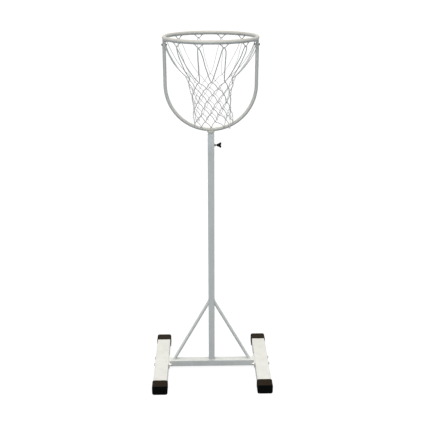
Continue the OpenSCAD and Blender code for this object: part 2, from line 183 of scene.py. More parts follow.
class Value:
    """A node's output, on which Python's operators add Math nodes."""

    def __init__(self, nodes, socket):
        self.nodes = nodes
        self.socket = socket

    def __add__(self, other):
        return self.nodes.math("ADD", self, other)

    def __sub__(self, other):
        return self.nodes.math("SUBTRACT", self, other)

    def __rsub__(self, other):
        return self.nodes.math("SUBTRACT", other, self)

    def __mul__(self, other):
        return self.nodes.math("MULTIPLY", self, other)

    def __truediv__(self, other):
        return self.nodes.math("DIVIDE", self, other)

    def __pow__(self, other):
        return self.nodes.math("POWER", self, other)

    __radd__ = __add__
    __rmul__ = __mul__

    def limited(self, low=0.0, high=1.0):
        return self.nodes.math("MINIMUM", self.nodes.math("MAXIMUM", self, low), high)


class Nodes:
    """A node tree to which every node is added by one method."""

    def __init__(self, tree):
        self.tree = tree

    def node(self, kind, settings=None, sockets=None, output=0):
        """Adds a node, its settings first, then the values or links of its sockets."""
        made = self.tree.nodes.new("ShaderNode" + kind)
        for name, value in (settings or {}).items():
            if name == "stops":
                ramp = made.color_ramp
                while len(ramp.elements) < len(value):
                    ramp.elements.new(1.0)
                for element, (place, shade) in zip(ramp.elements, value):
                    element.position = place
                    element.color = (shade, shade, shade, 1)
            else:
                setattr(made, name, value)
        for key, value in (sockets or {}).items():
            if isinstance(value, Value):
                self.tree.links.new(value.socket, made.inputs[key])
            else:
                made.inputs[key].default_value = value
        return Value(self, made.outputs[output]) if made.outputs else None

    def math(self, operation, first, second=0.0):
        return self.node("Math", {"operation": operation}, {0: first, 1: second})

    def seen_directly(self):
        """1 for what the camera sees, straight or in a reflection, and 0 for other light."""
        path = self.node("LightPath").socket.node
        rays = [Value(self, path.outputs[name])
                for name in ("Is Camera Ray", "Is Glossy Ray", "Is Transmission Ray")]
        return (rays[0] + rays[1] + rays[2]).limited()


class Finish(Nodes):
    """A material made of nodes round one Principled shader."""

    def __init__(self, name, **constants):
        self.material = bpy.data.materials.new(name)
        self.material.use_nodes = True
        super().__init__(self.material.node_tree)
        self.shader = self.tree.nodes["Principled BSDF"]
        for socket, value in constants.items():
            self.shader.inputs[socket.replace("_", " ")].default_value = value

    def place(self):
        return self.node("TexCoord", output="Object")

    def axes(self, vector):
        split = self.node("SeparateXYZ", sockets={0: vector}).socket.node
        return [Value(self, socket) for socket in split.outputs]

    def upward(self):
        """How far the surface faces up: 1 on top, 0 on a side, -1 underneath."""
        return self.axes(self.node("TexCoord", output="Normal"))[2]

    def noise(self, vector, scale, detail=2.0, roughness=0.5, distortion=0.0):
        return self.node("TexNoise", sockets={
            "Vector": vector, "Scale": scale, "Detail": detail,
            "Roughness": roughness, "Distortion": distortion})

    def stretched(self, vector, scale):
        return self.node("Mapping", sockets={"Vector": vector, "Scale": scale})

    def ramp(self, value, *stops):
        return self.node("ValToRGB", {"stops": stops}, {0: value})

    def mix(self, factor, first, second, blend="MIX"):
        return self.node("Mix", {"data_type": "RGBA", "blend_type": blend},
                         {0: factor, 6: first, 7: second}, output=2)

    def tinted(self, factor, tone, tint):
        return self.mix(factor, tone, tint, blend="MULTIPLY")

    def bump(self, height, distance):
        return self.node("Bump", sockets={"Height": height, "Distance": distance},
                         output="Normal")

    def feed(self, **links):
        for socket, value in links.items():
            self.tree.links.new(value.socket, self.shader.inputs[socket.replace("_", " ")])
        return self.material


# ------------------------------------------------------------------ finishes

def powder_coat(name, base, dust=0.0, scratches=0.0, painted_light_above=0.0, painted_top_tint=None):
    """Satin powder coat: a soft orange peel, faint clouding and fine specks.

    Dust lies near the floor, scratches run up the tube, the paint is painted lighter in streaks
    above a height in metres as painted light, and a painted tint of light and shade is on what
    faces up.
    """
    paint = Finish(name, Specular_IOR_Level=0.4)
    place = paint.place()
    clouds = paint.noise(place, scale=9, detail=3, roughness=0.55, distortion=0.6)
    specks = paint.noise(place, scale=420)
    tone = paint.mix(paint.ramp(clouds, (0.32, 0), (0.68, 1)),
                     shaded(base, 0.96), shaded(base, 1.025))
    tone = paint.mix(paint.ramp(specks, (0.66, 0), (0.74, 1)) * 0.35, tone, shaded(base, 0.86))
    roughness = clouds * 0.14 + 0.30
    peel = (paint.noise(place, scale=620, detail=1)
            + paint.noise(place, scale=160, detail=1) * 0.8)
    # painted light and shade: what faces up is tinted as the top light falls on it
    if painted_top_tint:
        tone = paint.tinted(paint.ramp(paint.upward(), (0.1, 0), (0.8, 1)), tone, painted_top_tint)
    if dust:
        dust_top = 0.12
        drifts = paint.ramp(paint.noise(place, scale=26, detail=4), (0.35, 0), (0.7, 1))
        dusty = (1 - paint.axes(place)[2] / dust_top).limited() * drifts
        tone = paint.mix(dusty * dust, tone, DUST)
        roughness = roughness + dusty * 0.2
    if painted_light_above:
        # painted light: above the given height the paint is lighter, in streaks, against the
        # shade that the yoke casts on the top of the mast
        fade = 0.06
        light_band = ((paint.axes(place)[2] - painted_light_above) / fade).limited()
        streaks = paint.noise(paint.stretched(place, (60, 60, 22)),
                              scale=1, detail=4, roughness=0.6)
        light_streaks = paint.ramp(streaks, (0.3, 0.55), (0.7, 1))
        tone = paint.mix(light_band * light_streaks, tone, shaded(base, 1.24))
        roughness = roughness + light_band * 0.12
    if scratches:
        lines = paint.noise(paint.stretched(place, (900, 900, 5)),
                            scale=1, detail=3, roughness=0.7)
        scratched = paint.ramp(lines, (0.60, 0), (0.66, 1))
        tone = paint.mix(scratched * scratches, tone, shaded(base, 0.78))
        roughness = roughness + scratched * 0.12
        peel = peel - scratched * 0.7
    return paint.feed(Base_Color=tone, Roughness=roughness.limited(0.15, 0.9),
                      Normal=paint.bump(peel, 0.00005))


def moulded_plastic(name, base, grain, roughness, worn=0.0, lit_top=None):
    """Black moulded plastic with a spark-eroded grain of the given scale.

    Where asked for, it is painted lighter on top in blotches as painted light from above, and
    worn grey where it rubs on the floor.
    """
    plastic = Finish(name, Specular_IOR_Level=0.03)
    place = plastic.place()
    pits = plastic.noise(place, scale=grain, detail=3, roughness=0.6)
    clouds = plastic.noise(place, scale=34, detail=3)
    tone = plastic.mix(plastic.ramp(clouds, (0.3, 0), (0.7, 1)),
                       shaded(base, 0.75), shaded(base, 1.3))
    roughness = clouds * 0.2 + (roughness - 0.1)
    if lit_top:
        # painted light: upward faces are lighter, in blotches, as lit from above
        blotches = plastic.ramp(plastic.noise(place, scale=60, detail=4, roughness=0.65),
                                (0.2, 0.6), (0.75, 1))
        painted_top_light = plastic.ramp(plastic.upward(), (0.35, 0), (0.9, 1))
        tone = plastic.mix(painted_top_light * blotches, tone, lit_top)
    if worn:
        worn_top = 0.007
        scuffs = plastic.ramp(plastic.noise(place, scale=260, detail=4, roughness=0.7),
                              (0.45, 0), (0.62, 1))
        rubbed = (1 - plastic.axes(place)[2] / worn_top).limited() * scuffs
        tone = plastic.mix(rubbed * worn, tone, CAP_RUBBED)
        roughness = roughness + rubbed * 0.2
    return plastic.feed(Base_Color=tone, Roughness=roughness.limited(0.2, 0.95),
                        Normal=plastic.bump(pits, 0.00012))


def plated_steel(name, base, roughness, axis, edge, beyond):
    """Plated steel: lathe lines round X, cloudy patches, and painted shade on the faces that
    turn down.

    It has the other tone beyond the edge, a distance from the middle along the axis.
    """
    steel = Finish(name, Metallic=1.0)
    place = steel.place()
    lines = steel.noise(steel.stretched(place, (2600, 120, 120)), scale=1)
    clouds = steel.noise(place, scale=190, detail=3)
    tone = steel.mix(steel.ramp(clouds, (0.3, 0), (0.72, 1)),
                     shaded(base, 0.84), shaded(base, 1.06))
    fade = 0.01
    past = ((steel.math("ABSOLUTE", steel.axes(place)[axis]) - edge) / fade).limited()
    tone = steel.mix(past, tone, beyond)
    # painted shade: faces that turn down are darkened
    painted_underside_shade = steel.ramp(steel.upward() + 1, (0.35, 0.85), (0.75, 0))
    tone = steel.mix(painted_underside_shade, tone, UNDERSIDE_SHADE)
    roughness = clouds * 0.16 + lines * 0.12 + (roughness - 0.14)
    return steel.feed(Base_Color=tone, Roughness=roughness.limited(0.08, 0.9),
                      Normal=steel.bump(lines, 0.00002))


def braided_cord(name, base):
    """Braid of eight carriers, four each way, with painted shade: greyer on the front of the net
    and on the long strands under the ring.

    The cord's map counts cord diameters along U and turns round the cord in V.
    """
    cord = Finish(name, Specular_IOR_Level=0.25, Sheen_Weight=0.25, Sheen_Roughness=0.5)
    along, around, _ = cord.axes(cord.node("UVMap", {"uv_map": "UVMap"}))
    place = cord.place()
    side, depth, height = cord.axes(place)
    full_turn = 2 * math.pi
    picks = 1.3  # carriers that cross in the length of a cord's diameter

    def carriers(slant):
        return cord.math("SINE", (along * picks + around * slant) * full_turn) * 0.5 + 0.5

    left, right = carriers(4), carriers(-4)
    over = cord.math("SINE", along * (2 * picks) * full_turn) * 0.5 + 0.5
    relief = cord.math("MAXIMUM", left * (over * 0.4 + 0.6), right * (1 - over * 0.4))
    grooves = cord.ramp(relief, (0.2, 0), (0.62, 1))
    fibres = cord.noise(place, scale=2400, roughness=0.7)
    soiled = cord.ramp(cord.noise(place, scale=14, detail=3), (0.42, 0), (0.75, 1))
    facing = depth / (side * side + depth * depth) ** 0.5
    # painted shade: the cord is greyer on the front of the net and above the first knots
    painted_front_shade = ((-0.1 - facing) / 0.75).limited()
    shade_from_z, fade = 1.74, 0.05
    shade_under_ring = ((height - shade_from_z) / fade).limited()
    cord_shade = cord.mix(shade_under_ring, shaded(base, 0.70, 0.69, 0.66), shaded(base, 0.60, 0.63, 0.655))
    tone = cord.mix(soiled * 0.35, base, shaded(base, 0.9, 0.88, 0.83))
    tone = cord.mix(cord.math("MAXIMUM", shade_under_ring * 0.3, painted_front_shade) * 0.7, tone, cord_shade)
    tone = cord.tinted(1 - grooves, tone, BRAID_SHADE)
    return cord.feed(Base_Color=tone, Roughness=(0.86 - fibres * 0.16).limited(),
                     Normal=cord.bump(relief + fibres * 0.3, 0.0003))


frame_paint = powder_coat("frame_paint", FRAME_GREY, dust=0.25, painted_light_above=1.35,
                          painted_top_tint=FRAME_TOP_LIGHT)
head_paint = powder_coat("head_paint", HEAD_GREY, painted_top_tint=HEAD_TOP_SHADE)
sliding_paint = powder_coat("sliding_paint", SLIDE_GREY, scratches=0.4)
foot_paint = powder_coat("foot_paint", FOOT_WHITE, dust=0.3)
cap_plastic = moulded_plastic("cap_plastic", CAP_BLACK, grain=1300, roughness=0.62,
                              worn=0.5, lit_top=CAP_TOP_LIGHT)
plug_plastic = moulded_plastic("plug_plastic", CAP_BLACK, grain=1300, roughness=0.5)
knob_plastic = moulded_plastic("knob_plastic", KNOB_BLACK, grain=1700, roughness=0.5)
# the plating is painted brighter inside the edge, as a painted highlight on the nuts, and keeps
# a darker tone at the bolt heads beyond it
zinc_steel = plated_steel("zinc_steel", NUT_HIGHLIGHT_ZINC, roughness=0.34,
                          axis=0, edge=0.30, beyond=BOLT_HEAD_ZINC)
dark_steel = plated_steel("dark_steel", YELLOWED_STEEL, roughness=0.42,
                          axis=2, edge=1.6, beyond=DARK_STEEL)
net_cord = braided_cord("net_cord", CORD_WHITE)


# ----------------------------------------------------------------- piece kit

def finish_piece(name, bm, body, material, replaces=(), smooth_angle=60):
    """Turns millimetres into metres and puts the mesh on its body."""
    bmesh.ops.scale(bm, vec=(MM, MM, MM), verts=bm.verts)
    mesh = bpy.data.meshes.new(name)
    bm.to_mesh(mesh)
    bm.free()
    mesh.materials.append(material)
    mesh.shade_smooth()
    mesh.set_sharp_from_angle(angle=math.radians(smooth_angle))
    piece = bpy.data.objects.new(name, mesh)
    bpy.context.scene.collection.objects.link(piece)
    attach(piece, body)
    if replaces:
        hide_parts(*replaces)
    return piece


def merge(bm, part):
    """Moves a part into another mesh."""
    mesh = bpy.data.meshes.new("part")
    part.to_mesh(mesh)
    part.free()
    bm.from_mesh(mesh)
    bpy.data.meshes.remove(mesh)


def add_block(bm, low, high):
    """Adds a block between two corners."""
    made = bmesh.ops.create_cube(bm, size=1)["verts"]
    size = [b - a for a, b in zip(low, high)]
    middle = [(a + b) / 2 for a, b in zip(low, high)]
    bmesh.ops.scale(bm, vec=size, verts=made)
    bmesh.ops.translate(bm, vec=middle, verts=made)


def round_edges(bm, edges, radius, segments):
    """Rounds edges to a radius."""
    bmesh.ops.bevel(bm, geom=edges, affect="EDGES", offset=radius, segments=segments,
                    profile=0.5, material=-1)


def cut(bm, point, normal, faces=None, clear_outer=False):
    """Cuts the mesh, or only some of its faces, along a plane."""
    if faces is None:
        geom = bm.verts[:] + bm.edges[:] + bm.faces[:]
    else:
        geom = list(dict.fromkeys(item for face in faces
                                  for item in (face, *face.edges, *face.verts)))
    bmesh.ops.bisect_plane(bm, geom=geom, plane_co=point, plane_no=normal,
                           clear_outer=clear_outer)


def add_turned(bm, profile, steps):
    """Adds the solid that a profile of (radius, z) makes when turned about Z."""
    part = bmesh.new()
    verts = [part.verts.new((radius, 0, z)) for radius, z in profile]
    edges = [part.edges.new(pair) for pair in zip(verts, verts[1:])]
    bmesh.ops.spin(part, geom=verts + edges, cent=(0, 0, 0), axis=(0, 0, 1), dvec=(0, 0, 0),
                   angle=2 * math.pi, steps=steps, use_merge=True, use_duplicate=False)
    bmesh.ops.remove_doubles(part, verts=part.verts, dist=0.002)
    bmesh.ops.recalc_face_normals(part, faces=part.faces)
    merge(bm, part)


def laid_on_x(bm, start, side, y, z):
    """Turns what runs along Z to run along X on one side of the stand, at its place."""
    turn = Matrix.Rotation(side * math.pi / 2, 3, "Y")
    bmesh.ops.rotate(bm, matrix=turn, cent=(0, 0, 0), verts=bm.verts)
    bmesh.ops.translate(bm, vec=(side * start, y, z), verts=bm.verts)
    return bm


def running_lengths(points):
    """How far along the line each point lies."""
    lengths = [0.0]
    for before, after in zip(points, points[1:]):
        lengths.append(lengths[-1] + (after - before).length)
    return lengths


def even_spacing(points, spacing):
    """The same line with points at equal distances."""
    lengths = running_lengths(points)
    count = max(2, round(lengths[-1] / spacing))
    made, at = [], 0
    for i in range(count + 1):
        target = lengths[-1] * i / count
        while at < len(points) - 2 and lengths[at + 1] < target:
            at += 1
        span = lengths[at + 1] - lengths[at]
        share = (target - lengths[at]) / span if span else 0
        made.append(points[at].lerp(points[at + 1], share))
    return made


def add_tube(bm, points, radii, sides=10, closed=False):
    """Adds a round tube along the points, mapped by arc length in its own diameters."""
    data = bpy.data.curves.new("tube_path", "CURVE")
    data.dimensions = "3D"
    data.bevel_depth = 1
    data.bevel_resolution = (sides - 4) // 2
    data.use_fill_caps = not closed
    spline = data.splines.new("POLY")
    spline.points.add(len(points) - 1)
    spline.use_cyclic_u = closed
    for knot, point, radius in zip(spline.points, points, radii):
        knot.co = (*point, 1)
        knot.radius = radius
    carrier = bpy.data.objects.new("tube_path", data)
    mesh = bpy.data.meshes.new_from_object(carrier)
    part = bmesh.new()
    part.from_mesh(mesh)
    bpy.data.meshes.remove(mesh)
    bpy.data.objects.remove(carrier)
    bpy.data.curves.remove(data)
    layer = part.loops.layers.uv.active
    lengths = running_lengths(points)
    width = 2 * max(radii)
    last = len(points) - 1
    for face in part.faces:
        for loop in face.loops:
            u = loop[layer].uv.x * last
            low = min(int(u), last - 1)
            share = u - low
            length = lengths[low] * (1 - share) + lengths[low + 1] * share
            loop[layer].uv.x = length / width
    merge(bm, part)


# ----------------------------------------------------------------- over-caps

def lies_at(item, y):
    """Whether the whole edge or face lies across the foot at y."""
    return all(abs(vert.co.y - y) < 1e-3 for vert in item.verts)


def is_sole(face):
    """Whether a face of a cap is one that it stands on."""
    return face.normal.z < -0.99 and all(vert.co.z < 0.01 for vert in face.verts)


def roll_rim(cap):
    """Rim: a narrow band at the mouth that stands a little proud, but not underneath."""
    for back in (RIM_BACK, RIM_CREST_BACK, RIM_CREST_FRONT):
        cut(cap, (0, CAP_LIP_Y - back, 0), (0, 1, 0))
    nearest, farthest = RIM_CREST_FRONT / 2, (RIM_BACK + RIM_CREST_BACK) / 2
    for vert in cap.verts:
        if nearest < CAP_LIP_Y - vert.co.y < farthest and vert.co.z > 1:
            away = Vector((vert.co.x / (CAP_W / 2), 0, vert.co.z / (CAP_H / 2) - 1))
            vert.co += RIM_PROUD * away


def seat_cavity(mouth):
    """Fits the cavity's mouth to the foot, whose corners are tighter than the cap's."""
    wide = CAP_CORNER_R - CAP_WALL + CAP_PLAY
    half = CAP_W / 2 - CAP_WALL + CAP_PLAY - FOOT_CORNER_R
    low = CAP_SOLE - CAP_PLAY + FOOT_CORNER_R
    high = CAP_H - CAP_WALL + CAP_PLAY - FOOT_CORNER_R
    for vert in {v for f in mouth for v in f.verts}:
        out_x = (abs(vert.co.x) - CAP_W / 2 + CAP_CORNER_R) * FOOT_CORNER_R / wide
        from_middle = abs(vert.co.z - CAP_H / 2)
        out_z = (from_middle - CAP_H / 2 + CAP_CORNER_R) * FOOT_CORNER_R / wide
        vert.co.x = math.copysign(half + out_x, vert.co.x)
        vert.co.z = high + out_z if vert.co.z > CAP_H / 2 else low - out_z


def sink_cavity(cap):
    """Hollow for the end of the foot."""
    mouth = [f for f in cap.faces if lies_at(f, CAP_LIP_Y)]
    bmesh.ops.inset_region(cap, faces=mouth, thickness=CAP_WALL - CAP_PLAY,
                           use_even_offset=True)
    seat_cavity(mouth)
    pushed = bmesh.ops.extrude_face_region(cap, geom=mouth)
    floor = [v for v in pushed["geom"] if isinstance(v, bmesh.types.BMVert)]
    bmesh.ops.translate(cap, vec=(0, -CAP_GRIP, 0), verts=floor)
    bmesh.ops.delete(cap, geom=mouth, context="FACES_ONLY")


def groove_sole(cap):
    """Shallow grooves across the sole, which leave ribs to stand on."""
    first = CAP_END_Y + GROOVE_START
    for i in range(GROOVE_COUNT):
        for y in (first + GROOVE_PITCH * i, first + GROOVE_W + GROOVE_PITCH * i):
            cut(cap, (0, y, 0), (0, 1, 0), faces=[f for f in cap.faces if is_sole(f)])
    cap.normal_update()
    grooves = []
    for face in cap.faces:
        if is_sole(face):
            y = face.calc_center_median().y - first
            if 0 <= y < GROOVE_PITCH * GROOVE_COUNT and y % GROOVE_PITCH < GROOVE_W:
                grooves.append(face)
    bmesh.ops.inset_individual(cap, faces=grooves, thickness=GROOVE_DRAFT, depth=0)
    sunk = bmesh.ops.extrude_discrete_faces(cap, faces=grooves)["faces"]
    bmesh.ops.translate(cap, vec=(0, 0, GROOVE_DEPTH),
                        verts=list({v for f in sunk for v in f.verts}))


def make_over_cap(side, end):
    """Moulded cap: rounded outside, rolled rim, cavity for the foot, ribbed sole."""
    cap = bmesh.new()
    add_block(cap, (-CAP_W / 2, CAP_END_Y, 0), (CAP_W / 2, CAP_LIP_Y, CAP_H))
    long_edges = [e for e in cap.edges if abs(e.verts[0].co.y - e.verts[1].co.y) > 1]
    round_edges(cap, long_edges, CAP_CORNER_R, 8)
    round_edges(cap, [e for e in cap.edges if lies_at(e, CAP_END_Y)], CAP_END_R, 5)
    roll_rim(cap)
    sink_cavity(cap)
    groove_sole(cap)
    bmesh.ops.remove_doubles(cap, verts=cap.verts, dist=0.002)
    if end > 0:
        bmesh.ops.rotate(cap, matrix=Matrix.Rotation(math.pi, 3, "Z"), cent=(0, 0, 0),
                         verts=cap.verts)
    bmesh.ops.translate(cap, vec=(side * FOOT_X, 0, 0), verts=cap.verts)
    bmesh.ops.recalc_face_normals(cap, faces=cap.faces)
    return cap


for end_name, end in (("front", -1), ("rear", 1)):
    for side_name, side in (("left", -1), ("right", 1)):
        finish_piece(f"{end_name}_{side_name}_over_cap", make_over_cap(side, end),
                     "base", cap_plastic,
                     replaces=[f"{end_name}_{side_name}_cap"], smooth_angle=40)


# ----------------------------------------------------------------- fasteners

def add_hexagon(bm, flats, bottom, top):
    """Hexagon prism along Z with the corners of its top turned down to a cone."""
    part = bmesh.new()
    bmesh.ops.create_cone(part, cap_ends=True, segments=6, radius1=flats / math.sqrt(3),
                          radius2=flats / math.sqrt(3), depth=top - bottom)
    bmesh.ops.translate(part, vec=(0, 0, (top + bottom) / 2), verts=part.verts)
    cuts = 24
    for i in range(cuts):
        a = 2 * math.pi * (i + 0.5) / cuts
        out = Vector((math.cos(a), math.sin(a), 0))
        cut(part, out * flats * HEAD_FACE + UP * top,
            out * math.sin(HEAD_CHAMFER) + UP * math.cos(HEAD_CHAMFER), clear_outer=True)
        open_edges = [e for e in part.edges if e.is_boundary]
        if open_edges:
            bmesh.ops.holes_fill(part, edges=open_edges, sides=0)
    bmesh.ops.remove_doubles(part, verts=part.verts, dist=0.003)
    bmesh.ops.recalc_face_normals(part, faces=part.faces)
    merge(bm, part)


def add_thread(bm, diameter, pitch, start, end, steps=24):
    """Adds a screw thread along Z: a core, and a ridge that winds round it."""
    crest, root = diameter / 2, diameter / 2 - THREAD_DEPTH * pitch
    add_turned(bm, [(0, start), (root - 0.1, start), (root, start + 0.3), (root, end - 0.3),
                    (root - 0.1, end), (0, end)], steps)
    plain = 0.9 * pitch
    turns = (end - start - 2 * plain) / pitch
    count = round(turns * steps)
    part = bmesh.new()
    profile = [(root - 0.15, -0.44), (crest, -0.07), (crest, 0.07), (root - 0.15, 0.44)]
    verts = [part.verts.new((radius, 0, start + plain + share * pitch))
             for radius, share in profile]
    edges = [part.edges.new((verts[i], verts[(i + 1) % 4])) for i in range(4)]
    bmesh.ops.spin(part, geom=verts + edges, cent=(0, 0, 0), axis=(0, 0, 1),
                   dvec=(0, 0, pitch * turns / count), angle=2 * math.pi * turns, steps=count,
                   use_merge=False, use_duplicate=False)
    bmesh.ops.holes_fill(part, edges=[e for e in part.edges if e.is_boundary], sides=0)
    bmesh.ops.recalc_face_normals(part, faces=part.faces)
    merge(bm, part)


def make_bolt(diameter, pitch, flats, head, length, threaded):
    """Hexagon bolt, its seat at the origin and its head along +Z."""
    bolt = bmesh.new()
    face_r, face_t = HEAD_FACE * flats, 0.4
    add_hexagon(bolt, flats, face_t - 0.05, head)
    add_turned(bolt, [(0, 0), (face_r, 0), (face_r, face_t), (0, face_t)], 48)
    shank_r, shank_top = diameter / 2 - 0.02, face_t / 2
    thread_top = threaded - length
    add_turned(bolt, [(0, shank_top), (shank_r, shank_top), (shank_r, thread_top - 0.4),
                      (shank_r - 0.5, thread_top), (0, thread_top)], 40)
    add_thread(bolt, diameter, pitch, -length, thread_top + 0.6)
    return bolt


foot_bolts, hoop_bolts = bmesh.new(), bmesh.new()
for side in (-1, 1):
    for y in (-FOOT_BOLT_Y, FOOT_BOLT_Y):
        bolt = make_bolt(**FOOT_BOLT)
        merge(foot_bolts, laid_on_x(bolt, FOOT_BOLT_SEAT_X, side, y, FOOT_BOLT_Z))
    bolt = make_bolt(**HOOP_BOLT)
    merge(hoop_bolts, laid_on_x(bolt, YOKE_R + YOKE_TUBE_R + 0.05, side, 0, RING_BOLT_Z))
finish_piece("foot_bolts", foot_bolts, "base", zinc_steel,
             replaces=["base_bolts"], smooth_angle=32)
finish_piece("hoop_cross_bolts", hoop_bolts, "head", dark_steel,
             replaces=["ring_bolts"], smooth_angle=32)


# --------------------------------------------------------------------- clamp

def make_clamp_screw():
    """Threaded screw with a dog point towards the mast and a plain end in the knob."""
    screw = bmesh.new()
    add_thread(screw, SCREW_D, SCREW_PITCH, SCREW_THREAD_START, SCREW_THREAD_END, steps=32)
    point_r, point_end = 3.1, SCREW_TIP + 1.5
    add_turned(screw, [(0, SCREW_TIP), (point_r - 0.5, SCREW_TIP), (point_r, SCREW_TIP + 0.5),
                       (point_r, point_end), (0, point_end)], 32)
    plain_r, plain_start = SCREW_D / 2 - 0.1, SCREW_THREAD_END - 0.9
    add_turned(screw, [(0, plain_start), (plain_r, plain_start), (plain_r, SCREW_END),
                       (0, SCREW_END)], 32)
    return laid_on_x(screw, 0, 1, 0, CLAMP_Z)


def add_ear(bm, circles):
    """Adds one flat ear: the hull of round ends, given as (x, z, radius)."""
    part = bmesh.new()
    for x, z, radius in circles:
        for out, narrowed in ((-1, 0.82), (-0.72, 1), (0.72, 1), (1, 0.82)):
            ring = bmesh.ops.create_circle(part, segments=28, radius=radius * narrowed)["verts"]
            bmesh.ops.rotate(part, matrix=Matrix.Rotation(math.pi / 2, 3, "X"),
                             cent=(0, 0, 0), verts=ring)
            bmesh.ops.translate(part, vec=(x, EAR_HALF_T * out, z), verts=ring)
    hull = bmesh.ops.convex_hull(part, input=part.verts)
    spare = [v for v in hull["geom_interior"] if isinstance(v, bmesh.types.BMVert)]
    bmesh.ops.delete(part, geom=spare, context="VERTS")
    bmesh.ops.recalc_face_normals(part, faces=part.faces)
    merge(bm, part)


def make_wing_knob():
    """Wing knob's hub and two ears, which still cut through each other."""
    knob, hub = bmesh.new(), bmesh.new()
    add_turned(hub, [(0, 0), (HUB_R - 0.8, 0), (HUB_R - 0.1, 0.5), (HUB_R, 1.6),
                     (HUB_R - 0.5, 2.2), (HUB_R - 0.3, 6), (HUB_R - 0.5, 13),
                     (HUB_R - 1.4, 15), (0, 15.6)], 48)
    merge(knob, laid_on_x(hub, 0, 1, 0, 0))
    far = KNOB_LENGTH - EAR_TIP_R
    for side in (-1, 1):
        add_ear(knob, [(0.2 * KNOB_LENGTH, side * 2.7, 3.9),
                       (0.79 * KNOB_LENGTH, side * 2.4, EAR_TIP_R),
                       (far, side * 0.2 * KNOB_SPAN, EAR_TIP_R),
                       (far, side * (KNOB_SPAN / 2 - EAR_TIP_R), EAR_TIP_R)])
    bmesh.ops.translate(knob, vec=(KNOB_START, 0, CLAMP_Z), verts=knob.verts)
    return knob


def run_together(piece, voxel, rounds):
    """Runs a piece's solids into one moulded skin with soft fillets."""
    skin = piece.modifiers.new("skin", "REMESH")
    skin.mode = "VOXEL"
    skin.voxel_size = voxel * MM
    soften = piece.modifiers.new("soften", "SMOOTH")
    soften.factor = 0.5
    soften.iterations = rounds
    graph = bpy.context.evaluated_depsgraph_get()
    made = bpy.data.meshes.new_from_object(piece.evaluated_get(graph))
    piece.modifiers.clear()
    made.shade_smooth()
    piece.data = made


finish_piece("clamp_thread", make_clamp_screw(), "clamp_screw", dark_steel,
             replaces=["clamp_screw"], smooth_angle=32)
wing_knob = finish_piece("wing_knob_grip", make_wing_knob(), "wing_knob",
                         knob_plastic, replaces=["wing_knob"])
run_together(wing_knob, voxel=0.42, rounds=6)


# ---------------------------------------------------------------- weld beads

def add_weld(bm, points, radius, closed=True, ripple=2.6, spacing=0.65, tapered=False):
    """Adds a weld bead with its crescent ripples along the points."""
    line = even_spacing(points + points[:1] if closed else points, spacing)
    if closed:
        line = line[:-1]
    radii = []
    for i in range(len(line)):
        travelled = i * spacing / ripple
        crescent = abs(math.sin(math.pi * travelled))
        size = radius * (0.90 + 0.16 * crescent + 0.05 * math.sin(travelled * 0.83))
        if tapered:
            share = i / (len(line) - 1)
            size *= max(0.3, math.sin(math.pi * (0.08 + 0.84 * share))) ** 0.6
        radii.append(size)
    add_tube(bm, line, radii, sides=8, closed=closed)


def square_seam(half_x, half_y, corner, z):
    """Seam round a square tube: a rounded rectangle, evenly spaced."""
    corners = []
    for quarter in range(4):
        sign_x = 1 if quarter in (0, 3) else -1
        sign_y = 1 if quarter in (0, 1) else -1
        centre = Vector((sign_x * (half_x - corner), sign_y * (half_y - corner)))
        for step in range(9):
            a = quarter * math.pi / 2 + step * math.pi / 16
            corners.append(centre + corner * Vector((math.cos(a), math.sin(a))))
    path = even_spacing(corners + corners[:1], 0.7)[:-1]
    return [Vector((point.x, point.y, z)) for point in path]


def round_seam(count, point):
    """Seam through the points that a function gives for the angles of a full turn."""
    return [point(2 * math.pi * i / count) for i in range(count)]


def yoke_seam(edge):
    """Seam between the yoke's bend and the saddle plate, in front or behind."""
    seam = []
    for i in range(25):
        x = SADDLE_HALF * (i / 12 - 1)
        rise = YOKE_R - math.sqrt(YOKE_R ** 2 - x ** 2)
        seam.append(Vector((x, edge * 7.7, SADDLE_Z + SADDLE_T + 1.3 + 0.5 * rise)))
    return seam


def stub_seam(side):
    """Seam where a stub runs into the underside of the ring."""
    def under_ring(a):
        x, y = (STUB_R + 0.5) * math.cos(a), (STUB_R + 0.5) * math.sin(a)
        lift = math.sqrt((RING_TUBE_R + 0.5) ** 2 - x ** 2)
        return Vector((side * RING_R + x, y, RING_Z - lift))
    return round_seam(70, under_ring)


def eyelet_seam(middle, sign):
    """Seam of one end of an eyelet's wire along the underside of the ring."""
    seam = []
    for i in range(7):
        along = sign * (EYELET_HALF_SPAN - 4 + 9 * i / 6)
        turn = middle + along / RING_R
        drop = 0.5 + 0.35 * math.sin(math.pi * i / 6)
        seam.append(Vector((RING_R * math.cos(turn), RING_R * math.sin(turn),
                            RING_Z - RING_TUBE_R - drop)))
    return seam


